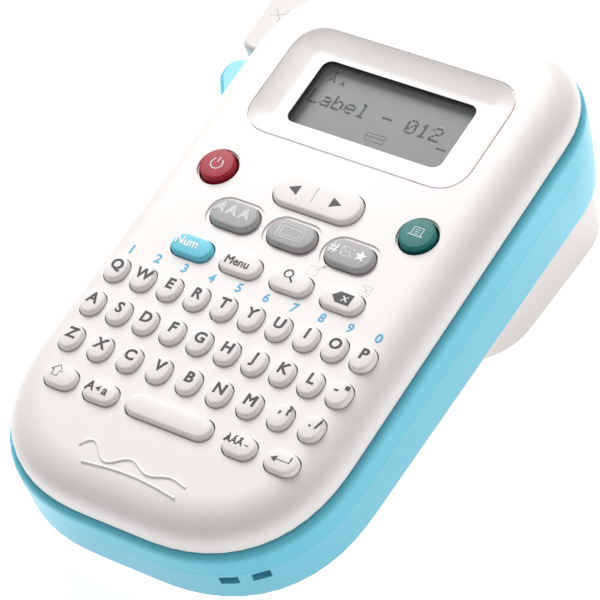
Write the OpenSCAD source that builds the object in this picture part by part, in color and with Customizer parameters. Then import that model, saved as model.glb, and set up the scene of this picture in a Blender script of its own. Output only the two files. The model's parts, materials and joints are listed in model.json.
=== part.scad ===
// Handheld label maker. Units are millimetres, +Z is up, the front faces -Y.
// The case is modelled flat, with its deck normal along Z and its white-to-cyan joint at
// height 0, and then tipped about X so that it rests on its front feet and its tape bulge.

/* [Case] */
// Half width of the top cover
cover_half_w = 55; // [50:0.5:60]
// Distance from the middle to the front edge of the top cover
cover_front = 99.5; // [90:0.5:110]
// Distance from the middle to the rear edge of the top cover
cover_rear = 95; // [86:0.5:105]
// Height of the deck above the joint
deck_h = 9.6; // [8:0.1:12]
// Corner radius at the front
front_r = 45; // [30:1:50]
// Corner radius at the rear
rear_r = 30; // [20:1:40]
// How far the cyan frame stands outside the top cover
frame_step = 2; // [1:0.1:3]
// Wall thickness of every case part
wall = 2.3; // [1.6:0.1:3]
// Depth of the middle frame below the joint, at mid length
frame_drop = 10.6; // [8:0.1:14]
// Fall of the frame joint towards the rear, per millimetre
frame_fall = 0.022; // [0:0.001:0.05]
// Depth of the rear cover joint below the deck joint, at mid length
cover_drop = 24.6; // [20:0.1:30]
// Fall of the rear cover joint towards the rear, per millimetre
cover_fall = 0.052; // [0:0.001:0.08]
// Depth of the front underside
front_drop = 27.5; // [24:0.1:34]
// Angle at which the case stands
stand_deg = 7.7; // [0:0.1:12]

/* [Tape bulge] */
// How far the case draws in towards the bottom of its rear wall
rear_draft = 5; // [3:0.5:7]
// Start of the bulge, behind the middle
bulge_start = 4; // [0:1:30]
// Inset of the bulge's underside from the case side
bulge_inset = 3.5; // [3:0.5:12]

/* [Tape exit] */
// Overhang of the exit guard beyond the side of the case
guard_out = 8.6; // [4:0.5:12]
// Length of the exit guard
guard_l = 30; // [20:1:40]
// Depth of the exit guard
guard_h = 26; // [20:1:30]
// Width of the tape slot
slot_w = 1.8; // [1:0.1:3]

/* [Keys] */
// Column pitch of the two upper letter rows
key_pitch = 9.77; // [9:0.01:11]
// Column pitch of the lower letter row
low_pitch = 10.7; // [9.5:0.01:12]
// Row pitch
row_pitch = 13.1; // [12:0.1:15]
// Distance of the upper letter row in front of the middle
top_row = 27.6; // [24:0.1:32]
// Width of a letter key
key_w = 7.4; // [6:0.1:8]
// Length of a letter key
key_l = 8.8; // [8:0.1:11]
// Height of the keys above the deck
key_h = 1.8; // [1:0.1:3]
// Clearance round a key
key_gap = 0.35; // [0.2:0.05:0.6]
// Width of the lip that keeps a key in
key_lip = 0.8; // [0.5:0.1:1]
// Key travel
key_travel = 1.1; // [0.6:0.1:1.5]
// Radius of the round power and print keys
round_r = 5.6; // [4:0.1:7]
// Radius of the dished recess round a round key
dish_r = 6.8; // [6:0.1:9]

/* [Display] */
// Distance of the display to the right of the middle
lcd_x = -0.5; // [-2:0.1:2]
// Distance of the grooved surround to the right of the middle
surround_x = -0.85; // [-2:0.05:2]
// Width of the display opening
lcd_w = 55.4; // [40:0.5:62]
// Length of the display opening
lcd_l = 25.2; // [18:0.1:30]
// Distance of the display behind the middle
lcd_at = 53.6; // [45:0.5:60]
// Width of the grooved surround
surround_w = 79; // [70:0.5:86]
// Length of the grooved surround
surround_l = 42.6; // [36:0.1:48]
// Thickness of the display window
window_t = 0.9; // [0.6:0.1:1.5]

/* [Tape cassette] */
// Width of the cassette
tape_w = 68; // [50:1:76]
// Length of the cassette
tape_l = 58; // [44:1:62]
// Thickness of the cassette
tape_t = 19; // [14:0.5:21]
// Radius of the tape spool
spool_r = 18; // [12:0.5:22]
// Radius of the platen roller
roller_r = 4; // [3:0.1:5]
// Radial clearance of the turning parts
spin_gap = 0.35; // [0.2:0.05:0.6]

/* [Batteries] */
// Radius of a cell
cell_r = 5.2; // [5:0.05:7]
// Length of a cell
cell_l = 44; // [40:0.5:50]

/* [Cutter] */
// Length of the lever
lever_l = 20.5; // [14:0.5:24]
// Overhang of the lever beyond the side of the case
lever_out = 8.4; // [6:0.1:9]
// Height of the lever
lever_h = 8.4; // [6:0.1:9]
// Distance of the lever's pivot behind the middle
lever_at = 65.5; // [60:0.5:70]

/* [Render] */
// Node to draw

/* [Hidden] */
$fn = 24;
eps = 0.01;
corner_n = 9;
frame_half_w = cover_half_w + frame_step;
ceiling = deck_h - 2.8;
board_z = 1.3;
board_t = 1.6;
board_top = board_z + board_t;
mat_t = 1;
mat_top = board_top + mat_t;
lip_top = ceiling - 0.45;
lip_t = 0.8;
lip_base = mat_top + key_travel + 0.35;
cap_top = deck_h + key_h;
letter_w = min(key_w, key_pitch - 2 * key_lip - 0.4);
letter_r = letter_w / 2 - 0.1;
floor_top = -13;
floor_t = 2;
floor_base = floor_top - floor_t;
stand_slope = tan(stand_deg);
feet_y = -(cover_front - 4);
pan_z = -front_drop + cover_fall * feet_y;
tape_at = 54;
tape_shift = -2;
tape_top = floor_base - 0.5;
guard_half = frame_half_w + guard_out;
guard_top = -1.6;
guard_rear = cover_rear + 2;
lever_top = -1.7;
pivot_x = -(frame_half_w - 8);
pivot_r = 1.5;
head_x = -(frame_half_w - 7.6);
roller_x = head_x + 3.4 + roller_r;
roller_y = 62;
tape_x = roller_x - roller_r - 0.7;
shift_x = guard_out / 2;
shift_y = 0.04;
shift_z = (front_drop * cos(stand_deg)) + (-feet_y * sin(stand_deg));

// Point on a corner whose shape lies between a circle and a square
function knee(t) = [pow(abs(cos(t)), 0.84), pow(abs(sin(t)), 0.84)];
// Closed outline of a case slice, grown by g, with its rear wall drawn in by b
function outline(g, b = 0) =
  let (a = cover_half_w + g, f = -cover_front - g, r = cover_rear + g - b,
       rf = front_r + g, rr = rear_r + g + b)
  concat(
    [for (i = [0:corner_n - 1]) let (k = knee(90 * i / (corner_n - 1)))
      [a - rr + rr * k[0], r - rr + rr * k[1]]],
    [for (i = [0:corner_n - 1]) let (k = knee(90 - 90 * i / (corner_n - 1)))
      [-(a - rr) - rr * k[0], r - rr + rr * k[1]]],
    [for (i = [0:corner_n - 1]) let (k = knee(90 * i / (corner_n - 1)))
      [-(a - rf) - rf * k[0], f + rf - rf * k[1]]],
    [for (i = [0:corner_n - 1]) let (k = knee(90 - 90 * i / (corner_n - 1)))
      [a - rf + rf * k[0], f + rf - rf * k[1]]]);
// Closed outline of a rectangle with corner radius r at the rear and q at the front
function soft_box(x0, y0, x1, y1, r, q = 0) =
  let (f = q > 0 ? q : r)
  concat(
    [for (i = [0:6]) [x1 - r + r * cos(15 * i), y1 - r + r * sin(15 * i)]],
    [for (i = [6:12]) [x0 + r + r * cos(15 * i), y1 - r + r * sin(15 * i)]],
    [for (i = [12:18]) [x0 + f + f * cos(15 * i), y0 + f + f * sin(15 * i)]],
    [for (i = [18:24]) [x1 - f + f * cos(15 * i), y0 + f + f * sin(15 * i)]]);
// Outline raised to height z, which falls by s per millimetre towards the rear
function ring(p, z, s = 0) = [for (q = p) [q[0], q[1], z - s * q[1]]];

// Solid through a list of rings, from the lowest to the highest
module loft(rings) {
  n = len(rings[0]);
  m = len(rings);
  points = [for (r = rings) for (p = r) p];
  faces = concat(
    [[for (i = [n - 1:-1:0]) n - 1 - i]],
    [[for (i = [n - 1:-1:0]) (m - 1) * n + i]],
    [for (j = [0:m - 2]) for (i = [0:n - 1])
      [j * n + (i + 1) % n, j * n + i, (j + 1) * n + i]],
    [for (j = [0:m - 2]) for (i = [0:n - 1])
      [j * n + (i + 1) % n, (j + 1) * n + i, (j + 1) * n + (i + 1) % n]]);
  polyhedron(points = points, faces = faces, convexity = 6);
}

// Tips the flat case to the angle at which it stands
module stand() {
  translate([shift_x, shift_y, shift_z]) rotate([stand_deg, 0, 0]) children();
}

// Rounded bar seen from above
module pill(w, l, r) {
  square([w - 2 * r, l], center = true);
  square([w, l - 2 * r], center = true);
  for (x = [-1, 1]) {
    for (y = [-1, 1]) {
      translate([x * (w / 2 - r), y * (l / 2 - r)]) circle(r);
    }
  }
}

// Straight slab over a case slice
module slab(g, z0, z1, b = 0) {
  translate([0, 0, z0]) linear_extrude(z1 - z0) polygon(outline(g, b));
}

// Tables of [x, y, width, length, corner radius], one entry for each key
upper_keys = [for (i = [0:9]) [(i - 4.5) * key_pitch, -top_row, letter_w, key_l, letter_r]];
home_keys = [for (i = [0:9]) [(i - 4.5) * key_pitch, -top_row - row_pitch, letter_w, key_l, letter_r]];
lower_keys = [for (i = [0:8]) [(i - 4) * low_pitch, -top_row - 2 * row_pitch, letter_w, key_l, letter_r]];
bottom_y = -top_row - 3 * row_pitch;
shift_key = [-37.4, bottom_y, 11.2, 7.4, 3.6];
caps_key = [-22.9, bottom_y, 11.8, 7.2, 3.5];
space_key = [1.2, bottom_y + 0.7, 30, 7.6, 3.7];
accent_key = [26.4, bottom_y, 11, 7.4, 3.6];
enter_key = [40.9, bottom_y, 11, 7.4, 3.6];
tool_y = -12.3;
num_key = [-26.3, tool_y, 14.2, 7.6, 3.6];
menu_key = [-8.7, tool_y, 14.2, 7.6, 3.6];
preview_key = [9.3, tool_y, 14.2, 7.6, 3.6];
erase_key = [27.2, tool_y, 14.2, 7.6, 3.6];
mode_y = 2.6;
font_key = [-20.6, mode_y, 16.5, 9.5, 4.6];
frame_key = [0, mode_y, 16.5, 9.5, 4.6];
symbol_key = [20.6, mode_y, 16.5, 9.5, 4.6];
cursor_key = [0.4, 17, 30.4, 11.6, 5.6];
cursor_tip = 3.2;
power_at = [-36.1, 16.9];
print_at = [35.8, 16.4];
plain_keys = concat(upper_keys, home_keys, lower_keys,
  [shift_key, caps_key, space_key, accent_key, enter_key, num_key, menu_key, preview_key,
   erase_key, font_key, frame_key, symbol_key]);

// Pressed key: a cap that rises through the deck and a lip that keeps it in
module key(k, c) {
  color(c) stand() translate([k[0], k[1], 0]) {
    translate([0, 0, lip_base]) linear_extrude(lip_t)
      pill(k[2] + 2 * key_lip, k[3] + 2 * key_lip, k[4] + key_lip);
    translate([0, 0, lip_base]) linear_extrude(cap_top - 0.6 - lip_base) pill(k[2], k[3], k[4]);
    translate([0, 0, cap_top - 1]) linear_extrude(1) pill(k[2] - 1.1, k[3] - 1.1, k[4] - 0.55);
  }
}

// Round key with a lip
module round_key(at, c) {
  color(c) stand() translate([at[0], at[1], 0]) {
    translate([0, 0, lip_base]) cylinder(r = round_r + key_lip, h = lip_t, $fn = 48);
    translate([0, 0, lip_base]) cylinder(r = round_r, h = cap_top - 0.5 - lip_base, $fn = 48);
    translate([0, 0, cap_top - 0.5 - eps])
      cylinder(r1 = round_r, r2 = round_r - 0.6, h = 0.5, $fn = 48);
  }
}

white = [0.95, 0.94, 0.93];
cyan = [0.44, 0.79, 0.87];
grey = [0.6, 0.6, 0.6];

module top_cover() {
  color(white) stand() difference() {
    union() {
      difference() {
        loft([ring(outline(0), 0), ring(outline(-0.1), 3), ring(outline(-1.4), 6),
              ring(outline(-4.5), 8), ring(outline(-9), deck_h - 0.4), ring(outline(-14), deck_h)]);
        loft([ring(outline(-wall), -1), ring(outline(-wall - 0.2), 3),
              ring(outline(-wall - 2.1), ceiling)]);
      }
    }
    // Grooved display surround, its dished face and the display opening
    translate([surround_x, lcd_at + 1, deck_h - 0.7]) linear_extrude(2) difference() {
      pill(surround_w, surround_l, 11);
      pill(surround_w - 2, surround_l - 2, 10);
    }
    translate([lcd_x, lcd_at, deck_h - 1]) linear_extrude(2) pill(lcd_w + 9, lcd_l + 7, 6);
    translate([lcd_x, lcd_at, 0]) linear_extrude(12) pill(lcd_w, lcd_l, 3.2);
    // Shallow recess round the three style keys
    for (k = [font_key, frame_key, symbol_key]) {
      translate([k[0], k[1], deck_h - 0.45]) linear_extrude(2)
        pill(k[2] + 3.4, k[3] + 2.4, k[4] + 1.2);
    }
    // Key openings
    for (k = plain_keys) {
      translate([k[0], k[1], 0]) linear_extrude(12)
        pill(k[2] + 2 * key_gap, k[3] + 2 * key_gap, k[4] + key_gap);
    }
    translate([cursor_key[0], cursor_key[1], 0]) linear_extrude(12)
      pill(cursor_key[2] + 2.6 * key_gap, cursor_key[3] + 2 * key_gap, cursor_key[4] + key_gap);
    for (p = [power_at, print_at]) {
      translate([p[0], p[1], 0]) cylinder(r = round_r + key_gap, h = 12, $fn = 48);
      translate([p[0], p[1], deck_h - 0.8]) cylinder(r = dish_r, h = 2, $fn = 48);
    }
  }
}

module middle_frame() {
  color(cyan) stand() difference() {
    union() {
      loft([ring(outline(frame_step, 0.6 * rear_draft), -frame_drop, frame_fall),
            ring(outline(frame_step - 0.2, 0.3 * rear_draft), -2.6), ring(outline(0.2), 0)]);
      // Ledge that carries the circuit board inside the top cover
      slab(-wall - 0.4, -0.9, board_z);
    }
    slab(-wall - 4.5, -20, 5);
    slab(-wall + 0.2, -20, -0.9, 0.6 * rear_draft);
    // Window for the cutter lever
    translate([-80, lever_at - lever_l - 2, lever_top - lever_h - 0.6])
      cube([40, lever_l + 4.8, lever_h + 1.2]);
  }
}

module strap_slots(depth) {
  for (s = [-1, 1]) {
    translate([cover_half_w - 17.5, -cover_front + 8, -11.1]) rotate([0, 0, 34])
      translate([s * 4.7, 0, 0]) cube([5.6, depth, 3.2], center = true);
  }
}

module lower_case() {
  color(cyan) stand() difference() {
    union() {
      difference() {
        loft([ring(outline(frame_step - 1, rear_draft), -cover_drop, cover_fall),
              ring(outline(frame_step, 0.6 * rear_draft), -frame_drop, frame_fall)]);
        slab(-wall + 0.2, -60, 5, rear_draft - 1.4);
      }
      difference() {
        slab(-wall + 0.5, floor_base, floor_top, rear_draft - 1.4);
        // Shaft holes of the platen roller and the spool
        translate([roller_x, roller_y, -30]) cylinder(r = pivot_r + spin_gap, h = 30);
      }
      // Pin on which the cutter lever turns
      translate([pivot_x, lever_at, floor_top - eps]) cylinder(r = pivot_r, h = 11.6);
      // Block behind the strap slots
      intersection() {
        slab(-wall + 0.5, floor_top - eps, -8.9);
        translate([cover_half_w - 19, -cover_front + 12.5, -20]) rotate([0, 0, 34])
          translate([-16, -12, 0]) cube([32, 18, 12]);
      }
      // Ribs that divide the battery tray from the tape bay
      translate([-50, -8, floor_base - 7]) cube([100, 2, 7 + eps]);
      translate([-50, 20, floor_base - 7]) cube([100, 2, 7 + eps]);
      translate([-50, 20, floor_base - 7]) cube([2, 28, 7 + eps]);
      translate([48, 20, floor_base - 7]) cube([2, 50, 7 + eps]);
    }
    strap_slots(16);
    // Notch through which the tape leaves the bay
    translate([tape_x - slot_w / 2, 75, floor_base - 14]) cube([slot_w, 30, 13.6]);
  }
}

module rear_cover() {
  color([0.89, 0.87, 0.86]) stand() difference() {
    union() {
      loft([ring(outline(-4, rear_draft), pan_z, cover_fall),
            ring(outline(-1.2, rear_draft), pan_z + 1.5, cover_fall),
            ring(outline(frame_step - 1, rear_draft), -cover_drop, cover_fall)]);
      bulge(0);
    }
    loft([ring(outline(-5.5, rear_draft), pan_z + wall - 0.3, cover_fall),
          ring(outline(-wall, rear_draft), pan_z + wall + 1, cover_fall),
          ring(outline(-wall, rear_draft), 5)]);
    bulge(wall);
  }
}

// Bulge over the tape cassette, shrunk by s; its underside is flush with the table
module bulge(s) {
  z0 = -front_drop + stand_slope * feet_y + (s > 0 ? wall : 0);
  y0 = bulge_start;
  y1 = cover_rear - rear_draft;
  w = cover_half_w - bulge_inset;
  loft([
    ring(soft_box(-w + s, y0 + 5 + s, w - s, y1 - 3 - s, 20), z0, stand_slope),
    ring(soft_box(-w - 1.5 + s, y0 + 3.5 + s, w + 1.5 - s, y1 - 1.6 - s, 22),
         z0 + 2.4, stand_slope),
    ring(soft_box(-cover_half_w + 0.6 + s, y0 + s, cover_half_w - 0.6 - s, y1 - 0.6 - s, 25),
         -cover_drop - 1 + (s > 0 ? 3 : 0), cover_fall)]);
}

module exit_guard() {
  color([0.89, 0.87, 0.86]) stand() difference() {
    translate([0, 0, guard_top - guard_h]) {
      linear_extrude(guard_h - 1)
        polygon(soft_box(-guard_half, guard_rear - guard_l, -28, guard_rear, 10, 4.5));
      linear_extrude(guard_h) polygon(soft_box(-guard_half + 1, guard_rear - guard_l + 1, -29,
                                               guard_rear - 1, 9, 3.5));
    }
    loft([ring(outline(frame_step - 0.95, rear_draft), -60),
          ring(outline(frame_step - 0.95, rear_draft), -cover_drop, cover_fall),
          ring(outline(frame_step + 0.05, 0.6 * rear_draft), -frame_drop, frame_fall),
          ring(outline(frame_step + 0.05, 0.3 * rear_draft), -2.6),
          ring(outline(frame_step + 0.05), 10)]);
    // Slot through which the tape leaves
    translate([tape_x - slot_w / 2, 78, floor_base - 12.4]) cube([slot_w, 30, 12.2]);
  }
}

module display_window() {
  color([0.8, 0.85, 0.85]) stand() translate([lcd_x, lcd_at, ceiling - window_t])
    linear_extrude(window_t) pill(lcd_w + 6, lcd_l + 6, 2);
}

module display_panel() {
  color([0.55, 0.57, 0.57]) stand() translate([lcd_x, lcd_at, board_top]) {
    linear_extrude(ceiling - window_t - board_top) square([lcd_w + 3, lcd_l + 4], center = true);
  }
}

module circuit_board() {
  color([0.1, 0.4, 0.25]) stand() difference() {
    intersection() {
      slab(-wall - 1.4, board_z, board_top);
      translate([-60, -84, 0]) cube([120, 158, 10]);
    }
    for (x = [-1, 1]) {
      translate([x * 47, 34, 0]) cylinder(r = 1.6, h = 10);
      translate([x * 40, -79, 0]) cylinder(r = 1.6, h = 10);
    }
  }
}

module key_mat() {
  color([0.8, 0.8, 0.8]) stand() difference() {
    intersection() {
      slab(-wall - 2, board_top, mat_top);
      translate([-60, -77, 0]) cube([120, 104, 10]);
    }
    for (x = [-1, 1]) {
      translate([x * 48, -10, 0]) cylinder(r = 1.6, h = 10);
    }
  }
}

module cutter_lever() {
  color(cyan) stand() difference() {
    union() {
      translate([0, 0, lever_top - lever_h]) linear_extrude(lever_h)
        polygon([[-frame_half_w + 5, lever_at - lever_l],
                 [-frame_half_w - 0.5, lever_at - lever_l],
                 [-frame_half_w - 3.2, lever_at - lever_l + 3],
                 [-frame_half_w - lever_out + 0.4, lever_at - 10.5],
                 [-frame_half_w - lever_out, lever_at - 6.5],
                 [-frame_half_w - lever_out + 1.8, lever_at - 3],
                 [-frame_half_w - 2, lever_at - 1.4],
                 [-frame_half_w + 5, lever_at - 1]]);
      translate([-frame_half_w + 2, lever_at - 4, lever_top - lever_h])
        cube([pivot_x + frame_half_w - 2, 6, lever_h]);
      translate([pivot_x, lever_at, lever_top - lever_h]) cylinder(r = 3.6, h = lever_h);
    }
    translate([pivot_x, lever_at, -30]) cylinder(r = pivot_r + spin_gap, h = 40);
  }
}

module cutter_blade() {
  color([0.75, 0.76, 0.78]) stand() translate([tape_x + 2.6, 75.5, floor_base - 12.6]) {
    cube([6, 3, 12.2]);
    translate([-1.4, 1.1, 0]) cube([2, 0.8, 12.2]);
  }
}

module tape_cassette() {
  color([0.25, 0.26, 0.28]) stand() difference() {
    translate([tape_shift - tape_w / 2, tape_at - tape_l / 2, tape_top - tape_t]) {
      linear_extrude(tape_t) polygon(soft_box(0, 0, tape_w, tape_l, 4));
    }
    translate([spool_x(), spool_y(), tape_top - tape_t - 1])
      difference() {
        cylinder(r = spool_r + 0.6, h = tape_t - 1, $fn = 64);
        cylinder(r = 4, h = tape_t, $fn = 32);
      }
    // Gap in which the tape passes the print head
    translate([tape_shift - tape_w / 2 - 1, tape_at - 2, tape_top - tape_t - 1])
      cube([7, 16, tape_t - 2]);
  }
}

function spool_x() = tape_shift + tape_w / 2 - spool_r - 5;
function spool_y() = tape_at + 3;

module tape_spool() {
  color([0.93, 0.93, 0.9]) stand() translate([spool_x(), spool_y(), tape_top - tape_t + 1.4])
    difference() {
      union() {
        cylinder(r = spool_r, h = tape_t - 4, $fn = 64);
      }
      translate([0, 0, -1]) cylinder(r = 4 + spin_gap, h = tape_t + 2, $fn = 32);
      for (a = [0:60:300]) {
        rotate([0, 0, a]) translate([8.5, 0, -1]) cylinder(r = 1.8, h = 3);
      }
    }
}

module platen_roller() {
  color([0.2, 0.2, 0.22]) stand() translate([roller_x, roller_y, 0]) {
    translate([0, 0, floor_base - 0.5 - 17]) cylinder(r = roller_r, h = 17, $fn = 32);
    translate([0, 0, floor_base - 20]) cylinder(r = pivot_r, h = 24);
    translate([0, 0, floor_top + 0.5]) cylinder(r = 3, h = 1.6);
  }
}

module print_head() {
  color([0.7, 0.7, 0.72]) stand() {
    translate([head_x, roller_y - 8, floor_base - 18]) cube([2.6, 16, 18]);
    translate([roller_x - roller_r - 0.9, roller_y - 1, floor_base - 17]) cube([0.5, 2, 15]);
  }
}

module battery_cells() {
  color([0.3, 0.5, 0.35]) stand() {
    for (i = [0:5]) {
      translate([-cell_l / 2, -19 - i * (2 * cell_r + 0.02), floor_base - cell_r])
        rotate([0, 90, 0]) cylinder(r = cell_r, h = cell_l, $fn = 32);
      translate([cell_l / 2 - eps, -19 - i * (2 * cell_r + 0.02), floor_base - cell_r])
        rotate([0, 90, 0]) cylinder(r = 1.8, h = 1, $fn = 24);
    }
    // Contact strips that join the cells
    for (x = [-cell_l / 2 - 0.5, cell_l / 2 + 0.9]) {
      translate([x, -19 - 10 * cell_r - 4, floor_base - cell_r - 3])
        cube([0.6, 10 * cell_r + 8, 6]);
    }
    translate([-5, -19 - 10 * cell_r - 4, floor_base - 1]) cube([10, 10 * cell_r + 8, 1]);
  }
}

// Rocking cursor key: a domed bar on a cross pin
module key_cursor() {
  color(white) stand() translate([cursor_key[0], cursor_key[1], 0]) difference() {
    union() {
      translate([0, 0, ceiling - 1.2]) linear_extrude(cap_top - ceiling + 0.6)
        pill(cursor_key[2], cursor_key[3], cursor_key[4]);
      translate([0, 0, cap_top - 1]) linear_extrude(1)
        pill(cursor_key[2] - 1.2, cursor_key[3] - 1.2, cursor_key[4] - 0.6);
      translate([0, 0, mat_top + 0.3]) linear_extrude(3) square([3, 6], center = true);
    }
    // Bore of the cross pin
    translate([0, 0, ceiling - 0.3]) rotate([90, 0, 0]) cylinder(r = 0.55, h = 40, center = true);
  }
}

// Keys, in rows from the rear to the front
module key_q() { key(upper_keys[0], white); }
module key_w() { key(upper_keys[1], white); }
module key_e() { key(upper_keys[2], white); }
module key_r() { key(upper_keys[3], white); }
module key_t() { key(upper_keys[4], white); }
module key_y() { key(upper_keys[5], white); }
module key_u() { key(upper_keys[6], white); }
module key_i() { key(upper_keys[7], white); }
module key_o() { key(upper_keys[8], white); }
module key_p() { key(upper_keys[9], white); }
module key_a() { key(home_keys[0], white); }
module key_s() { key(home_keys[1], white); }
module key_d() { key(home_keys[2], white); }
module key_f() { key(home_keys[3], white); }
module key_g() { key(home_keys[4], white); }
module key_h() { key(home_keys[5], white); }
module key_j() { key(home_keys[6], white); }
module key_k() { key(home_keys[7], white); }
module key_l() { key(home_keys[8], white); }
module key_dash() { key(home_keys[9], white); }
module key_z() { key(lower_keys[0], white); }
module key_x() { key(lower_keys[1], white); }
module key_c() { key(lower_keys[2], white); }
module key_v() { key(lower_keys[3], white); }
module key_b() { key(lower_keys[4], white); }
module key_n() { key(lower_keys[5], white); }
module key_m() { key(lower_keys[6], white); }
module key_comma() { key(lower_keys[7], white); }
module key_period() { key(lower_keys[8], white); }
module key_shift() { key(shift_key, white); }
module key_caps() { key(caps_key, white); }
module key_space() { key(space_key, white); }
module key_accent() { key(accent_key, white); }
module key_enter() { key(enter_key, white); }
module key_num() { key(num_key, cyan); }
module key_menu() { key(menu_key, white); }
module key_preview() { key(preview_key, white); }
module key_erase() { key(erase_key, white); }
module key_font() { key(font_key, grey); }
module key_frame() { key(frame_key, grey); }
module key_symbol() { key(symbol_key, grey); }
module key_power() { round_key(power_at, [0.65, 0.17, 0.25]); }
module key_print() { round_key(print_at, [0.05, 0.44, 0.41]); }

top_cover();
middle_frame();
lower_case();
rear_cover();
exit_guard();
display_window();
display_panel();
circuit_board();
key_mat();
cutter_lever();
cutter_blade();
tape_cassette();
tape_spool();
platen_roller();
print_head();
battery_cells();
key_q();
key_w();
key_e();
key_r();
key_t();
key_y();
key_u();
key_i();
key_o();
key_p();
key_a();
key_s();
key_d();
key_f();
key_g();
key_h();
key_j();
key_k();
key_l();
key_dash();
key_z();
key_x();
key_c();
key_v();
key_b();
key_n();
key_m();
key_comma();
key_period();
key_shift();
key_caps();
key_space();
key_accent();
key_enter();
key_num();
key_menu();
key_preview();
key_erase();
key_font();
key_frame();
key_symbol();
key_cursor();
key_power();
key_print();
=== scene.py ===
import json
import math
from contextlib import contextmanager

import bmesh
import bpy
from mathutils import Matrix, Vector


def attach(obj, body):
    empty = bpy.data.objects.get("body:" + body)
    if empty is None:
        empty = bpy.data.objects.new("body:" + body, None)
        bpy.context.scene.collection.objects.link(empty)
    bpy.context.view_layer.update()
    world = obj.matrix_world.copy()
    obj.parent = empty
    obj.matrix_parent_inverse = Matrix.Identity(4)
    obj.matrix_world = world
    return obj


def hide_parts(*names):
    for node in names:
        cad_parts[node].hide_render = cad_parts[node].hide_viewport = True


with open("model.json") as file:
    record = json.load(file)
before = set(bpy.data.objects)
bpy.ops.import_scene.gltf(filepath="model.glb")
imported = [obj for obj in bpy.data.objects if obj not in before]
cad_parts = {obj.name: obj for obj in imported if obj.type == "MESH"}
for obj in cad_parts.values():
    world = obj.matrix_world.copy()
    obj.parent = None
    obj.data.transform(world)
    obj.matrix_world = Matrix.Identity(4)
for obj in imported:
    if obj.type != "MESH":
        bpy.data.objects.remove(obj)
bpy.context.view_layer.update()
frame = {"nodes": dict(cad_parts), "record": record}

bl_info = {
    "name": "Label maker",
    "version": (1, 0, 0),
    "blender": (4, 5, 0),
    "location": "View3D > Sidebar > Label maker",
    "description": "Builds the shells, keys and marks of a handheld label maker",
    "category": "Object",
}

RECORD = frame["record"]
JOINTS = {joint["name"]: joint for joint in RECORD["behaviour"]["joints"]}
MM = 0.001

# The case is modelled flat in millimetres, with its white-to-cyan joint at height 0, and
# then tipped to the angle that the key joints have in the record.
KEY_AXIS = JOINTS["q_press"]["axis"]
STAND_ANGLE = math.atan2(-KEY_AXIS[1], KEY_AXIS[2])
LEVER_PIVOT = Vector((-49.0, 65.5, -6.0))
TIP = Matrix.Rotation(STAND_ANGLE, 4, "X")
STAND = (Matrix.Translation(Vector(JOINTS["lever_press"]["pos_m"]) - TIP @ (LEVER_PIVOT * MM))
         @ TIP @ Matrix.Scale(MM, 4))

INK = 0.05
PROUD = 0.03
DECK = 9.6
CAP_TOP = 11.4
WALL = 2.3
FRONT, REAR = -99.5, 95.0
FRONT_R, REAR_R = 45.0, 30.0
KNEE = 0.5585
ROUND = 0.5
KEY_PITCH, LOW_PITCH, ROW_PITCH = 9.77, 10.7, 13.1
TOP_ROW = -27.6
BOTTOM_ROW = TOP_ROW - 3 * ROW_PITCH
LETTER_KEY = (7.4, 8.8, 3.6)
LCD_X, LCD_Y = -0.5, 53.6
DISH_X, DISH_Y = -0.85, 54.6
DISH_HALF_W, DISH_HALF_L = 39.0, 20.8
OPENING_HALF_W, OPENING_HALF_L = 27.7, 12.6
STRAP_X, STRAP_Y, STRAP_Z, STRAP_TURN = 37.5, -91.5, -11.1, 34
LEVER_OUTLINE = [(-52, 45), (-57.5, 45), (-60.2, 48), (-65, 55), (-65.4, 59), (-63.6, 62.5),
                 (-59, 64.1), (-52, 64.5)]

COVER_JOINT, COVER_FALL = -24.6, 0.052
TABLE_SLOPE = math.tan(STAND_ANGLE)
TABLE_HEIGHT = -27.5 - 95.5 * TABLE_SLOPE


def key_table():
    """Every sliding key with flat ends: name -> (x, y, width, length, corner radius)"""
    table = {}
    rows = (("q w e r t y u i o p", KEY_PITCH), ("a s d f g h j k l dash", KEY_PITCH),
            ("z x c v b n m comma period", LOW_PITCH))
    for row, (names, pitch) in enumerate(rows):
        names = names.split()
        for column, name in enumerate(names):
            x = (column - (len(names) - 1) / 2) * pitch
            table[name] = (x, TOP_ROW - row * ROW_PITCH, *LETTER_KEY)
    table.update(
        shift=(-37.4, BOTTOM_ROW, 11.2, 7.4, 3.6), caps=(-22.9, BOTTOM_ROW, 11.8, 7.2, 3.5),
        space=(1.2, BOTTOM_ROW + 0.7, 30, 7.6, 3.7), accent=(26.4, BOTTOM_ROW, 11, 7.4, 3.6),
        enter=(40.9, BOTTOM_ROW, 11, 7.4, 3.6), num=(-26.3, -12.3, 14.2, 7.6, 3.6),
        menu=(-8.7, -12.3, 14.2, 7.6, 3.6), preview=(9.3, -12.3, 14.2, 7.6, 3.6),
        erase=(27.2, -12.3, 14.2, 7.6, 3.6), font=(-20.6, 2.6, 16.5, 9.5, 4.6),
        frame=(0.0, 2.6, 16.5, 9.5, 4.6), symbol=(20.6, 2.6, 16.5, 9.5, 4.6))
    return table


KEYS = key_table()
MODE_KEYS = ("font", "frame", "symbol")
CURSOR_KEY = (0.4, 17.0, 30.4, 11.6, 5.6)
ROUND_KEYS = {"power": (-36.1, 16.9), "print": (35.8, 16.4)}
ROUND_KEY_R = 5.6


# ---------------------------------------------------------------- selection and editing

def use(*objects):
    """Selects these objects only; the last one becomes active"""
    bpy.ops.object.select_all(action="DESELECT")
    for obj in objects:
        obj.select_set(True)
    bpy.context.view_layer.objects.active = objects[-1]


@contextmanager
def editing(obj):
    """Edit mode on one object, with nothing selected"""
    use(obj)
    bpy.ops.object.mode_set(mode="EDIT")
    bpy.ops.mesh.select_mode(type="VERT")
    bpy.ops.mesh.select_all(action="DESELECT")
    try:
        yield
    finally:
        bpy.ops.object.mode_set(mode="OBJECT")


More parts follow.
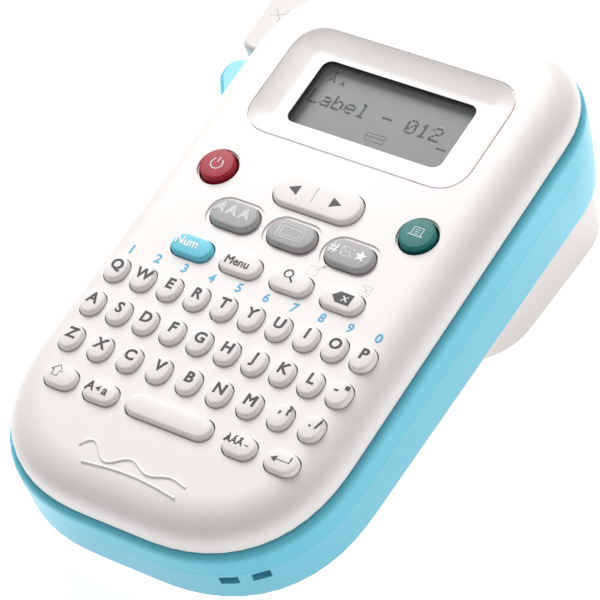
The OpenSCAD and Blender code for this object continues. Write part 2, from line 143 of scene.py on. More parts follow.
def pick(obj, kind, test):
    """Selects the vertices, edges or faces that pass a test"""
    bpy.ops.mesh.select_mode(type=kind)
    mesh = bmesh.from_edit_mesh(obj.data)
    items = {"VERT": mesh.verts, "EDGE": mesh.edges, "FACE": mesh.faces}[kind]
    for item in items:
        item.select_set(bool(test(item)))
    mesh.select_flush_mode()
    bmesh.update_edit_mesh(obj.data)


def plate(name, west, south, east, north, z, radii, knee=ROUND, cuts=8):
    """Flat plate with rounded corners: rear right, rear left, front left, front right"""
    bpy.ops.object.select_all(action="DESELECT")
    middle = ((west + east) / 2, (south + north) / 2, z)
    bpy.ops.mesh.primitive_plane_add(size=1, location=middle)
    obj = bpy.context.object
    obj.name = obj.data.name = name
    obj.scale = (east - west, north - south, 1)
    bpy.ops.object.transform_apply(location=True, rotation=True, scale=True)
    corners = ((east, north), (west, north), (west, south), (east, south))
    with editing(obj):
        for (x, y), radius in zip(corners, radii):
            pick(obj, "VERT", lambda v: abs(v.co.x - x) < 1e-3 and abs(v.co.y - y) < 1e-3)
            bpy.ops.mesh.bevel(offset=radius, segments=cuts, profile=knee, affect="VERTICES")
    return obj


def key_plate(name, key, grow, z, cuts=8):
    """Plate with the outline of a key, grown all round"""
    x, y, width, length, radius = key
    half_w, half_l = width / 2 + grow, length / 2 + grow
    return plate(name, x - half_w, y - half_l, x + half_w, y + half_l, z,
                 [radius + grow] * 4, ROUND, cuts)


def case_plate(name, grow, z, back=0.0):
    """Plate with the outline of the case, grown all round, with its rear edge drawn in"""
    half = mm("cover_half_width") + grow
    return plate(name, -half, FRONT - grow, half, REAR + grow - back, z,
                 [REAR_R + grow + back] * 2 + [FRONT_R + grow] * 2, KNEE, 14)


def draw_in(obj):
    """Draws in the rear of every level of a band, more and more towards the bottom"""
    length = REAR - FRONT
    with editing(obj):
        levels = sorted({round(v.co.z, 2) for v in bmesh.from_edit_mesh(obj.data).verts})
        for level in levels:
            depth = -level
            back = min(depth, 2.6) * 0.577 + 0.15 * min(max(depth - 2.6, 0), 10)
            back = max(back, 0) + 0.116 * min(max(depth - 12.6, 0), 17.2)
            pick(obj, "VERT", lambda v: abs(v.co.z - level) < 0.02)
            bpy.ops.transform.resize(value=(1, 1 - back / length, 1),
                                     center_override=(0, FRONT, 0))
    return obj


def tower(obj, steps, down=False):
    """Raises a plate into a solid through (inset, rise) steps"""
    side = -1 if down else 1
    with editing(obj):
        bpy.ops.mesh.select_mode(type="FACE")
        bpy.ops.mesh.select_all(action="SELECT")
        for inset, rise in steps:
            if inset:
                bpy.ops.mesh.inset(thickness=inset, depth=side * rise)
            else:
                bpy.ops.mesh.extrude_region_move(
                    TRANSFORM_OT_translate={"value": (0, 0, side * rise)})
        face_outwards()
    return obj


def dome(obj, steps, centre, size):
    """Raises a plate through (inset, rise) steps that scale its outline about its centre"""
    width, length = size
    with editing(obj):
        bpy.ops.mesh.select_mode(type="FACE")
        bpy.ops.mesh.select_all(action="SELECT")
        for inset, rise in steps:
            bpy.ops.mesh.extrude_region_move(
                TRANSFORM_OT_translate={"value": (0, 0, rise)})
            if inset:
                scale = ((width - 2 * inset) / width, (length - 2 * inset) / length, 1)
                bpy.ops.transform.resize(value=scale, center_override=(*centre, 0))
                width, length = width - 2 * inset, length - 2 * inset
        face_outwards()
    return obj


def face_outwards():
    """In edit mode: merges doubles and turns every face outwards"""
    bpy.ops.mesh.select_all(action="SELECT")
    bpy.ops.mesh.remove_doubles(threshold=1e-5)
    bpy.ops.mesh.normals_make_consistent(inside=False)


def rounding(width, height, count=6, power=2.2):
    """(inset, rise) steps of a quarter curve from an upright wall to a flat top"""
    points = []
    for i in range(count + 1):
        angle = math.pi / 2 * i / count
        points.append((width * (1 - abs(math.cos(angle)) ** (2 / power)),
                       height * abs(math.sin(angle)) ** (2 / power)))
    return [(b[0] - a[0], b[1] - a[1]) for a, b in zip(points, points[1:])]


def disc(name, x, y, z, radius, sides=48):
    """Flat round plate"""
    bpy.ops.object.select_all(action="DESELECT")
    bpy.ops.mesh.primitive_circle_add(vertices=sides, radius=radius, fill_type="NGON",
                                      location=(x, y, z))
    obj = bpy.context.object
    obj.name = obj.data.name = name
    bpy.ops.object.transform_apply(location=True, rotation=True, scale=True)
    return obj


def sheet(name, points, z, radius):
    """Flat plate through a list of corners, each of them rounded"""
    obj = place(as_mesh(outline_curve(name, [points]), name), 0, 0, z)
    with editing(obj):
        bpy.ops.mesh.select_all(action="SELECT")
        bpy.ops.mesh.remove_doubles(threshold=1e-4)
        bpy.ops.mesh.dissolve_limited()
        bpy.ops.mesh.bevel(offset=radius, segments=4, affect="VERTICES", clamp_overlap=True)
    return obj


def block(name, low, high):
    """Box between two corners"""
    obj = plate(name, low[0], low[1], high[0], high[1], low[2], ())
    return tower(obj, [(0, high[2] - low[2])])


def place(obj, x, y, z, turn=0.0, stretch=1.0):
    """Turns, stretches upwards and moves a piece, and applies it to its mesh"""
    use(obj)
    obj.location = (x, y, z)
    obj.rotation_euler = (0, 0, math.radians(turn))
    obj.scale = (1, 1, stretch)
    bpy.ops.object.transform_apply(location=True, rotation=True, scale=True)
    return obj


def as_mesh(curve, name):
    """Links a curve and makes it a mesh"""
    obj = bpy.data.objects.new(name, curve)
    bpy.context.scene.collection.objects.link(obj)
    use(obj)
    bpy.ops.object.convert(target="MESH")
    return bpy.context.object


def add_line(curve, points, closed):
    """Adds one line of straight stretches to a curve"""
    spline = curve.splines.new("POLY")
    spline.points.add(len(points) - 1)
    for point, (x, y) in zip(spline.points, points):
        point.co = (x, y, 0, 1)
    spline.use_cyclic_u = closed


def outline_curve(name, loops):
    """Filled flat curve; every loop inside another is a hole"""
    curve = bpy.data.curves.new(name, "CURVE")
    curve.dimensions = "2D"
    curve.fill_mode = "BOTH"
    for loop in loops:
        add_line(curve, loop, True)
    return curve


def stroke(points, width, closed=False):
    """Printed line of an even width, INK thick, lying on height 0"""
    curve = bpy.data.curves.new("stroke", "CURVE")
    curve.dimensions = "3D"
    curve.bevel_depth = width / 2
    curve.bevel_resolution = 1
    curve.use_fill_caps = True
    add_line(curve, points, closed)
    return place(as_mesh(curve, "stroke"), 0, 0, 0, stretch=INK / width)


def patch(*loops):
    """Printed flat area; further loops are its holes"""
    curve = outline_curve("patch", loops)
    curve.extrude = INK / 2
    return as_mesh(curve, "patch")


def word(text, size, x=0.0, y=0.0, weight=0.1, slant=0.0, outline=0.0):
    """Letters centred on a place"""
    bpy.ops.object.select_all(action="DESELECT")
    bpy.ops.object.text_add()
    obj = bpy.context.object
    obj.data.body = text
    obj.data.size = size
    obj.data.align_x = "CENTER"
    obj.data.align_y = "CENTER"
    obj.data.shear = slant
    obj.data.resolution_u = 3
    if outline:
        obj.data.fill_mode = "NONE"
        obj.data.bevel_depth = outline / 2
        obj.data.bevel_resolution = 1
        thickness = outline
    else:
        obj.data.bevel_depth = weight
        obj.data.bevel_resolution = 0
        obj.data.extrude = 10 * weight
        thickness = 22 * weight
    bpy.ops.object.convert(target="MESH")
    return place(bpy.context.object, x, y, 0, stretch=INK / thickness)


def arc(x, y, radius, start=0, end=360, count=28):
    """Points along an arc, in degrees"""
    return [(x + radius * math.cos(math.radians(start + (end - start) * i / count)),
             y + radius * math.sin(math.radians(start + (end - start) * i / count)))
            for i in range(count + (abs(end - start) < 360))]


def imprint(name, parts, x, y, top, body, slot, finish, depth=0.16):
    """Prints joined marks into a surface, so that they stand a hair above it"""
    mark = join(*parts)
    mark.name = mark.data.name = name
    place(mark, x, y, top + PROUD - depth / 2, stretch=depth / INK)
    return settle(mark, body, finish_of(finish), angle=0)


def join(*objects):
    """Joins objects into the last one"""
    if len(objects) > 1:
        use(*objects)
        bpy.ops.object.join()
    return objects[-1]


def carve(obj, cutter, operation="DIFFERENCE"):
    """Cuts or adds one solid and removes it"""
    use(obj)
    bpy.ops.object.modifier_add(type="BOOLEAN")
    modifier = obj.modifiers[-1]
    modifier.operation = operation
    modifier.object = cutter
    modifier.solver = "EXACT"
    bpy.ops.object.modifier_apply(modifier=modifier.name)
    bpy.data.objects.remove(cutter)
    return obj


def soften(obj, width, segments=2, angle=40):
    """Rounds the sharp edges"""
    use(obj)
    bpy.ops.object.modifier_add(type="BEVEL")
    modifier = obj.modifiers[-1]
    modifier.width = width
    modifier.segments = segments
    modifier.limit_method = "ANGLE"
    modifier.angle_limit = math.radians(angle)
    modifier.miter_outer = "MITER_ARC"
    bpy.ops.object.modifier_apply(modifier=modifier.name)
    return obj


def smooth(obj, angle=32):
    """Smooth shading that keeps the flat faces flat"""
    use(obj)
    bpy.ops.object.shade_smooth_by_angle(angle=math.radians(angle))
    bpy.ops.object.modifier_add(type="WEIGHTED_NORMAL")
    modifier = obj.modifiers[-1]
    modifier.keep_sharp = True
    bpy.ops.object.modifier_apply(modifier=modifier.name)


def settle(obj, body, finish, nodes=(), angle=32):
    """Stands a finished piece in its place, and gives it its body and material"""
    use(obj)
    obj.matrix_world = STAND @ obj.matrix_world
    bpy.ops.object.transform_apply(location=True, rotation=True, scale=True)
    if angle:
        smooth(obj, angle)
    obj.data.materials.clear()
    obj.data.materials.append(finish)
    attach(obj, body)
    if nodes:
        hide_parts(*nodes)
    return obj


def hollow(obj, top_inset, low_inset, top_z, low_z):
    """Turns a solid band into a ring: opens its two caps and walls them together"""
    with editing(obj):
        pick(obj, "FACE", lambda f: top_z(f.calc_center_median()) and len(f.verts) > 20)
        bpy.ops.mesh.inset(thickness=top_inset)
        top = [f.index for f in bmesh.from_edit_mesh(obj.data).faces if f.select]
        pick(obj, "FACE", lambda f: low_z(f.calc_center_median()) and len(f.verts) > 20)
        bpy.ops.mesh.inset(thickness=low_inset)
        mesh = bmesh.from_edit_mesh(obj.data)
        mesh.faces.ensure_lookup_table()
        for index in top:
            mesh.faces[index].select_set(True)
        bmesh.update_edit_mesh(obj.data)
        bpy.ops.mesh.bridge_edge_loops()
        face_outwards()
    return obj


def slice_off(obj, height, fall, keep_above):
    """Cuts a solid on a plane that falls towards the rear, and closes the cut"""
    with editing(obj):
        bpy.ops.mesh.select_all(action="SELECT")
        normal = Vector((0, fall, 1)).normalized()
        bpy.ops.mesh.bisect(plane_co=(0, 0, height), plane_no=normal, use_fill=True,
                            clear_inner=keep_above, clear_outer=not keep_above)
        face_outwards()
    return obj


# ---------------------------------------------------------------- finishes

def srgb(red, green, blue):
    """Screen colour from 0 to 255 as a linear colour"""
    def linear(value):
        value /= 255
        return value / 12.92 if value <= 0.04045 else ((value + 0.055) / 1.055) ** 2.4
    return (linear(red), linear(green), linear(blue), 1.0)


class Wire:
    """A shader socket; arithmetic on it adds Math nodes"""

    def __init__(self, finish, socket):
        self.finish = finish
        self.socket = socket

    def math(self, operation, *values):
        return self.finish.node("ShaderNodeMath", {"operation": operation},
                                {i: value for i, value in enumerate(values)})

    def __add__(self, other):
        return self.math("ADD", self, other)

    def __radd__(self, other):
        return self.math("ADD", other, self)

    def __sub__(self, other):
        return self.math("SUBTRACT", self, other)

    def __rsub__(self, other):
        return self.math("SUBTRACT", other, self)

    def __mul__(self, other):
        return self.math("MULTIPLY", self, other)

    def __rmul__(self, other):
        return self.math("MULTIPLY", other, self)

    def __gt__(self, other):
        return self.math("GREATER_THAN", self, other)

    def __lt__(self, other):
        return self.math("LESS_THAN", self, other)


class Finish:
    """Builds one procedural material"""

    def __init__(self, name, roughness=0.5, metallic=0.0, **constants):
        self.material = bpy.data.materials.new(name)
        self.material.use_nodes = True
        self.tree = self.material.node_tree
        self.shader = self.tree.nodes["Principled BSDF"]
        self.set("Roughness", roughness)
        self.set("Metallic", metallic)
        for key, value in constants.items():
            self.set(key.replace("_", " "), value)

    def node(self, kind, settings, inputs, output=0):
        node = self.tree.nodes.new(kind)
        for key, value in settings.items():
            setattr(node, key, value)
        for key, value in inputs.items():
            self.feed(node.inputs[key], value)
        return Wire(self, node.outputs[output])

    def feed(self, socket, value):
        if isinstance(value, Wire):
            self.tree.links.new(value.socket, socket)
        else:
            socket.default_value = value

    def set(self, name, value):
        self.feed(self.shader.inputs[name], value)

    def place(self):
        """Millimetres in the flat case's own axes"""
        coordinates = self.node("ShaderNodeTexCoord", {}, {}, "Object")
        back = TIP.inverted().to_euler()
        origin = -(TIP.inverted() @ STAND.translation) / MM
        return self.node("ShaderNodeMapping", {}, {
            "Vector": coordinates, "Location": origin, "Rotation": back,
            "Scale": (1 / MM, 1 / MM, 1 / MM)})

    def axes(self):
        split = self.node("ShaderNodeSeparateXYZ", {}, {0: self.place()}, "X")
        outputs = split.socket.node.outputs
        return [Wire(self, outputs[i]) for i in range(3)]

    def noise(self, scale, detail=3.0, roughness=0.55, vector=None):
        return self.node("ShaderNodeTexNoise", {}, {
            "Vector": vector or self.place(), "Scale": scale, "Detail": detail,
            "Roughness": roughness}, "Fac")

    def blend(self, factor, first, second):
        return self.node("ShaderNodeMix", {"data_type": "RGBA"},
                         {0: factor, 6: first, 7: second}, 2)

    def bump(self, height, distance, strength=1.0):
        normal = self.node("ShaderNodeBump", {}, {
            "Height": height, "Distance": distance, "Strength": strength})
        self.set("Normal", normal)


def moulded(name, colour, shade, roughness, grain=1.0, **constants):
    """Moulded plastic: fine spark grain, faint flow marks and uneven gloss"""
    finish = Finish(name, **constants)
    flow = finish.noise(0.035, 2.0, 0.5)
    grit = finish.noise(3.4, 2.0, 0.6)
    finish.set("Base Color", finish.blend(flow * 0.9 + grit * 0.1, shade, colour))
    finish.set("Roughness", roughness - 0.05 + flow * 0.06 + grit * 0.05)
    finish.bump(grit, 0.00002 * grain, 0.5)
    return finish.material


def soft_rubber(name, colour, shade, roughness=0.5):
    """Silicone key: satin skin with faint dust in its grain"""
    finish = Finish(name, Coat_Roughness=0.4)
    dust = finish.noise(1.7, 4.0, 0.6)
    grit = finish.noise(6.0, 2.0, 0.6)
    finish.set("Base Color", finish.blend(dust, shade, colour))
    finish.set("Roughness", roughness + dust * 0.08)
    finish.bump(grit, 0.00001, 0.5)
    return finish.material


def ink(name, colour, shade):
    """Printed legend with faint wear"""
    finish = Finish(name, 0.55)
    wear = finish.noise(2.6, 4.0, 0.65)
    finish.set("Base Color", finish.blend(wear, shade, colour))
    finish.set("Roughness", 0.5 + wear * 0.15)
    finish.bump(wear, 0.000004, 0.4)
    return finish.material


MADE = {}


def finish_of(name):
    """A material by name, made the first time that it is asked for"""
    if name not in MADE:
        MADE[name] = FINISHES[name]()
    return MADE[name]


def display_finish():
    finish = Finish("display_grey", 0.42)
    x, y, _ = finish.axes()
    across = x.math("FRACT", x * 1.36) < 0.08
    upwards = y.math("FRACT", y * 1.32) < 0.08
    lines = across.math("MAXIMUM", across, upwards)
    cloud = finish.noise(0.06, 2.0, 0.5)
    base = finish.blend(cloud, srgb(104, 106, 107), srgb(118, 120, 120))
    finish.set("Base Color", finish.blend(lines * 0.12, base, srgb(108, 112, 114)))
    finish.set("Roughness", 0.38 + cloud * 0.08)
    finish.bump(lines, 0.000004, 0.3)
    return finish.material


def window_finish():
    finish = Finish("clear_window", 0.06, Alpha=0.03, IOR=1.3)
    haze = finish.noise(0.5, 3.0, 0.6)
    finish.set("Base Color", (0.9, 0.93, 0.93, 1))
    finish.set("Roughness", 0.04 + haze * 0.05)
    return finish.material


def board_finish():
    finish = Finish("solder_mask", 0.35)
    x, y, _ = finish.axes()
    cells = finish.node("ShaderNodeTexVoronoi", {"feature": "DISTANCE_TO_EDGE"}, {
        "Vector": finish.place(), "Scale": 0.28}, "Distance")
    tracks = (x.math("FRACT", x * 0.42) < 0.3) * (cells > 0.12)
    pads = finish.node("ShaderNodeTexVoronoi", {}, {
        "Vector": finish.place(), "Scale": 0.35}, "Distance") < 0.16
    green = finish.blend(tracks, srgb(18, 74, 46), srgb(34, 108, 66))
    finish.set("Base Color", finish.blend(pads, green, srgb(196, 170, 104)))
    finish.set("Metallic", pads * 0.9)
    finish.set("Roughness", 0.4 - pads * 0.1)
    finish.bump(tracks, 0.00003, 0.5)
    return finish.material


def steel_finish():
    finish = Finish("ground_steel", 0.3, 1.0)
    brushed = finish.node("ShaderNodeMapping", {}, {
        "Vector": finish.place(), "Scale": (0.4, 0.4, 9.0)})
    lines = finish.noise(1.0, 5.0, 0.6, brushed)
    finish.set("Base Color", finish.blend(lines, srgb(168, 171, 176), srgb(208, 210, 213)))
    finish.set("Roughness", 0.22 + lines * 0.18)
    finish.bump(lines, 0.000006, 0.4)
    return finish.material


def cell_finish():
    finish = Finish("cell_wrap", 0.3)
    x, y, _ = finish.axes()
    cap = x.math("ABSOLUTE", x) > 20.8
    band = (x > 9.0) * (1 - cap)
    wrap = finish.blend(band, srgb(38, 66, 54), srgb(196, 148, 62))
    scuff = finish.noise(0.9, 4.0, 0.6)
    finish.set("Base Color", finish.blend(cap, wrap, srgb(190, 190, 188)))
    finish.set("Metallic", cap * 0.9)
    finish.set("Roughness", 0.24 + scuff * 0.2)
    finish.bump(scuff, 0.00001, 0.4)
    return finish.material


def tape_finish():
    finish = Finish("wound_tape", 0.45)
    x, y, z = finish.axes()
    wind = z.math("FRACT", z * 7.0) < 0.35
    stain = finish.noise(0.5, 3.0, 0.6)
    finish.set("Base Color", finish.blend(wind * 0.4 + stain * 0.3, srgb(240, 239, 232),
                                          srgb(206, 205, 196)))
    finish.set("Roughness", 0.42 + stain * 0.1)
    finish.bump(wind, 0.00001, 0.4)
    return finish.material


def floor_finish():
    finish = Finish("pale_floor", 0.85, Specular_IOR_Level=0.2)
    cloud = finish.noise(0.004, 2.0, 0.5)
    finish.set("Base Color", finish.blend(cloud, (0.93, 0.93, 0.93, 1), (0.95, 0.95, 0.95, 1)))
    finish.set("Emission Color", (1, 1, 1, 1))
    finish.set("Emission Strength", 0.6)
    return finish.material


FINISHES = {
    "white_shell": lambda: moulded("white_shell", srgb(246, 242, 240), srgb(240, 235, 233), 0.36),
    "cyan_frame": lambda: moulded("cyan_frame", srgb(108, 206, 228), srgb(100, 198, 221), 0.3),
    "cyan_case": lambda: moulded("cyan_case", srgb(124, 208, 230), srgb(117, 201, 224), 0.34),
    "cover_shell": lambda: moulded("cover_shell", srgb(232, 227, 224), srgb(225, 219, 216),
                                   0.5, 2.2),
    "white_key": lambda: soft_rubber("white_key", srgb(247, 244, 242), srgb(241, 237, 235)),
    "grey_key": lambda: soft_rubber("grey_key", srgb(182, 180, 181), srgb(174, 172, 173)),
    "cyan_key": lambda: soft_rubber("cyan_key", srgb(112, 214, 236), srgb(104, 206, 229)),
    "red_key": lambda: soft_rubber("red_key", srgb(178, 20, 50), srgb(168, 16, 44)),
    "green_key": lambda: soft_rubber("green_key", srgb(4, 124, 118), srgb(3, 115, 110)),
    "dark_ink": lambda: ink("dark_ink", srgb(66, 62, 62), srgb(78, 74, 73)),
    "white_ink": lambda: ink("white_ink", srgb(255, 255, 255), srgb(248, 248, 248)),
    "blue_ink": lambda: ink("blue_ink", srgb(82, 178, 224), srgb(100, 190, 230)),
    "pale_ink": lambda: ink("pale_ink", srgb(176, 172, 172), srgb(190, 186, 186)),
    "display_dots": lambda: ink("display_dots", srgb(10, 30, 38), srgb(16, 36, 44)),
    "display": display_finish, "window": window_finish, "board": board_finish,
    "steel": steel_finish, "cell": cell_finish, "tape": tape_finish, "floor": floor_finish,
    # Near-black finish of the display frame: painted shade on the walls of the display recess
    "painted_shade_black": lambda: moulded("painted_shade_black", srgb(26, 26, 27), srgb(20, 20, 21), 0.6),
    "mat": lambda: soft_rubber("mat_rubber", srgb(205, 205, 204), srgb(190, 190, 190), 0.6),
    "cassette": lambda: moulded("cassette_shell", srgb(58, 60, 65), srgb(48, 50, 55), 0.45, 2.0),
    "roller": lambda: soft_rubber("roller_rubber", srgb(44, 44, 46), srgb(34, 34, 36), 0.65),
}


# ---------------------------------------------------------------- properties

class LABELMAKER_PG_sizes(bpy.types.PropertyGroup):
    cover_half_width: bpy.props.FloatProperty(
        name="Cover half width", description="Half width of the white top cover",
        default=0.055, unit="LENGTH", subtype="DISTANCE")
    frame_step: bpy.props.FloatProperty(
        name="Frame step", description="How far the cyan frame stands outside the top cover",
        default=0.002, unit="LENGTH", subtype="DISTANCE")
    crown_width: bpy.props.FloatProperty(
        name="Crown width", description="Width of the rounded edge of the top cover",
        default=0.0125, unit="LENGTH", subtype="DISTANCE")
    dish_depth: bpy.props.FloatProperty(
        name="Dish depth", description="Depth of the dished surround at the display",
        default=0.0020, unit="LENGTH", subtype="DISTANCE")
    seam: bpy.props.FloatProperty(
        name="Seam", description="Rounding of the edges that meet at a seam",
        default=0.00025, unit="LENGTH", subtype="DISTANCE")
    legend_height: bpy.props.FloatProperty(
        name="Legend height", description="Type size of the letters on the keys",
        default=0.0050, unit="LENGTH", subtype="DISTANCE")


class LABELMAKER_PG_colours(bpy.types.PropertyGroup):
    backdrop: bpy.props.FloatVectorProperty(
        name="Backdrop", description="Colour of the surroundings", subtype="COLOR",
        default=(1.0, 1.0, 1.0), min=0, max=1)


def mm(name):
    """A size property in millimetres"""
    return getattr(bpy.context.scene.label_maker_sizes, name) / MM


# ---------------------------------------------------------------- shells

class LABELMAKER_OT_top_cover(bpy.types.Operator):
    """White upper shell with its crown, key openings and dished display surround"""
    bl_idname = "labelmaker.top_cover"
    bl_label = "Top cover"

    def execute(self, context):
        crown = mm("crown_width")
        shell = case_plate("top_cover_shell", 0, 0)
        tower(shell, [(0, 0.6)] + rounding(crown, DECK - 0.6, 12, 2.4))
        with editing(shell):
            pick(shell, "FACE", lambda f: f.calc_center_median().z < 0.01)
            bpy.ops.mesh.delete(type="FACE")
        use(shell)
        bpy.ops.object.modifier_add(type="SOLIDIFY")
        shell.modifiers[-1].thickness = WALL
        shell.modifiers[-1].offset = -1
        bpy.ops.object.modifier_apply(modifier=shell.modifiers[-1].name)

        carve(shell, self.dish())
        cutters = [tower(key_plate("cut", key, 0.35, 4), [(0, 10)]) for key in KEYS.values()]
        cutters.append(tower(key_plate("cut", CURSOR_KEY, 0.42, 4, 12), [(0, 10)]))
        for x, y in ROUND_KEYS.values():
            cutters.append(tower(disc("cut", x, y, 4, ROUND_KEY_R + 0.75), [(0, 10)]))
        carve(shell, join(*cutters))
        soften(shell, 0.28, 2, 50)
        settle(shell, "case", finish_of("white_shell"), ["top_cover"])
        return {"FINISHED"}

    def dish(self):
        """Solid of the display opening, its dished surround and the fine groove round it"""
        depth = mm("dish_depth")
        top = DECK + 1
        dish = self.around("cut_dish", 0, top, 10.5)
        steps = [(0, 1.05), (0.9, 0.35), (1.2, 0.36), (1.4, 0.33), (1.5, 0.3), (1.5, 0.26),
                 (1.5, 0.2)]
        scale = depth / sum(rise for _, rise in steps[1:])
        tower(dish, steps[:1] + [(inset, rise * scale) for inset, rise in steps[1:]], down=True)
        opening = plate("cut_opening", LCD_X - OPENING_HALF_W, LCD_Y - OPENING_HALF_L,
                        LCD_X + OPENING_HALF_W, LCD_Y + OPENING_HALF_L, 3, [3.2] * 4, ROUND, 8)
        tower(opening, [(0, 9)])
        groove = self.around("cut_groove", 0.6, DECK - 0.5, 11.1)
        tower(groove, [(0, 3)])
        inner = self.around("cut_inner", 0.1, DECK - 2, 10.6)
        tower(inner, [(0, 6)])
        carve(groove, inner)
        dish = carve(dish, opening, "UNION")
        recesses = []
        for name in MODE_KEYS:
            recesses.append(tower(key_plate("cut_recess", KEYS[name], 1.5, DECK - 0.45), [(0, 3)]))
        for x, y in ROUND_KEYS.values():
            recess = disc("cut_recess", x, y, DECK - 0.8, 6.8)
            recesses.append(tower(recess, [(0, 0.2), (-0.5, 0.7), (0, 2)]))
        first = recesses[0]
        for other in recesses[1:]:
            carve(first, other, "UNION")
        return join(groove, first, dish)

    def around(self, name, grow, z, radius):
        """Plate with the outline of the dished surround, grown all round"""
        half_w, half_l = DISH_HALF_W + grow, DISH_HALF_L + grow
        return plate(name, DISH_X - half_w, DISH_Y - half_l, DISH_X + half_w, DISH_Y + half_l, z,
                     [radius] * 4, KNEE, 10)


class LABELMAKER_OT_frame_band(bpy.types.Operator):
    """Upper cyan band with its rounded shoulder and the window for the lever"""
    bl_idname = "labelmaker.frame_band"
    bl_label = "Frame band"

    def execute(self, context):
        step = mm("frame_step")
        band = case_plate("frame_band", step, -16)
        tower(band, [(0, 12.7)] + rounding(step + 0.3, 2.6, 6, 2.0))
        draw_in(band)
        slice_off(band, -10.6, 0.022, keep_above=True)
        hollow(band, WALL - 0.4, WALL + 2, lambda c: c.z > -1, lambda c: c.z < -6)
        window = block("cut_window", (-80, 43, -10.7), (-45, 68.4, -1.1))
        carve(band, window)
        soften(band, mm("seam"), 2, 50)
        settle(band, "case", finish_of("cyan_frame"), ["middle_frame"])
        return {"FINISHED"}


class LABELMAKER_OT_lower_band(bpy.types.Operator):
    """Lower cyan band with the strap slots"""
    bl_idname = "labelmaker.lower_band"
    bl_label = "Lower band"

    def execute(self, context):
        step = mm("frame_step")
        band = case_plate("lower_band", step, -6)
        tower(band, [(0, 9), (0.1, 4), (0.2, 4), (0.3, 4), (0.4, 4), (0.5, 4)], down=True)
        draw_in(band)
        slice_off(band, -10.6, 0.022, keep_above=False)
        slice_off(band, COVER_JOINT, COVER_FALL, keep_above=True)
        hollow(band, WALL + 2, WALL + 1, lambda c: c.z > -16, lambda c: c.z < -20)
        slots = []
        for side in (-1, 1):
            slot = block("cut_slot", (side * 4.7 - 2.8, -8, -1.6), (side * 4.7 + 2.8, 8, 1.6))
            slots.append(place(slot, STRAP_X, STRAP_Y, STRAP_Z, STRAP_TURN))
        for slot in slots:
            carve(band, slot)
        soften(band, mm("seam"), 2, 50)
        settle(band, "case", finish_of("cyan_case"), ["lower_case"])
        return {"FINISHED"}


class LABELMAKER_OT_rear_cover(bpy.types.Operator):
    """Off-white rear cover: a shallow pan with the bulge over the tape"""
    bl_idname = "labelmaker.rear_cover"
    bl_label = "Rear cover"

    def execute(self, context):
        pan = case_plate("rear_cover_shell", 1, 0, 5)
        tower(pan, [(0, 1.2)] + rounding(3.6, 2.4, 6, 2.0), down=True)
        use(pan)
        pan.matrix_world = (Matrix.Translation((0, 0, COVER_JOINT))
                            @ Matrix.Rotation(-math.atan(COVER_FALL), 4, "X"))
        bpy.ops.object.transform_apply(location=True, rotation=True, scale=True)
        slice_off(pan, TABLE_HEIGHT, TABLE_SLOPE, keep_above=True)
        bulge = plate("bulge", -54.4, 5, 54.4, 89.4, COVER_JOINT, [25] * 4, ROUND, 12)
        tower(bulge, [(0.16, 3.1)] * 9, down=True)
        slice_off(bulge, COVER_JOINT - 0.5, COVER_FALL, keep_above=False)
        slice_off(bulge, TABLE_HEIGHT, TABLE_SLOPE, keep_above=True)
        soften(bulge, 3.0, 5, 50)
        carve(pan, bulge, "UNION")
        with editing(pan):
            pick(pan, "FACE", lambda f: f.normal.z > 0.9 and len(f.verts) > 20)
            bpy.ops.mesh.delete(type="FACE")
        use(pan)
        bpy.ops.object.modifier_add(type="SOLIDIFY")
        pan.modifiers[-1].thickness = 2.0
        pan.modifiers[-1].offset = -1
        bpy.ops.object.modifier_apply(modifier=pan.modifiers[-1].name)
        settle(pan, "cover", finish_of("cover_shell"), ["rear_cover"])
        return {"FINISHED"}


class LABELMAKER_OT_exit_guard(bpy.types.Operator):
    """Guard round the tape exit"""
    bl_idname = "labelmaker.exit_guard"
    bl_label = "Exit guard"

    def execute(self, context):
        guard = plate("exit_guard_shell", -65.6, 67, -28, 97, -27.6, [10, 10, 4.5, 10], ROUND, 10)
        tower(guard, [(0, 24.2)] + rounding(1.6, 1.8, 5, 2.0))
        case = case_plate("cut", mm("frame_step") + 0.05, -40)
        tower(case, [(0, 10.2), (0, 17.2), (0, 10), (0, 2.6), (0, 10)])
        carve(guard, draw_in(case))
        carve(guard, block("cut", (-47.6, 78, -27.4), (-45.8, 108, -15.2)))
        soften(guard, 0.25, 2, 50)
        settle(guard, "case", finish_of("cover_shell"), ["exit_guard"])
        return {"FINISHED"}


class LABELMAKER_OT_cutter_lever(bpy.types.Operator):
    """Wedge-shaped cutter lever with its hub"""
    bl_idname = "labelmaker.cutter_lever"
    bl_label = "Cutter lever"

    def execute(self, context):
        lever = sheet("cutter_lever_shell", LEVER_OUTLINE, -10.1, 1.1)
        dome(lever, [(0, 6.2)] + rounding(2.2, 2.2, 6, 2.0), (-52, 55), (26.8, 20))
        arm = block("arm", (-55, 61.5, -10.1), (-49, 67.5, -1.75))
        carve(lever, arm, "UNION")
        carve(lever, tower(disc("hub", -49, 65.5, -10.1, 3.6), [(0, 8.3)]), "UNION")
        carve(lever, tower(disc("bore", -49, 65.5, -20, 1.8), [(0, 30)]))
        soften(lever, 0.18, 2, 50)
        settle(lever, "lever", finish_of("cyan_frame"), ["cutter_lever"])
        return {"FINISHED"}


class LABELMAKER_OT_inner_parts(bpy.types.Operator):
    """Finishes of the inner parts that keep their shapes"""
    bl_idname = "labelmaker.inner_parts"
    bl_label = "Inner parts"

    def execute(self, context):
        for node, name in (("display_window", "window"), ("circuit_board", "board"),
                           ("key_mat", "mat"), ("tape_cassette", "cassette"),
                           ("tape_spool", "tape"), ("platen_roller", "roller"),
                           ("print_head", "steel"), ("cutter_blade", "steel"),
                           ("battery_cells", "cell")):
            for material_slot in frame["nodes"][node].material_slots:
                material_slot.material = finish_of(name)
        return {"FINISHED"}


# ---------------------------------------------------------------- keys

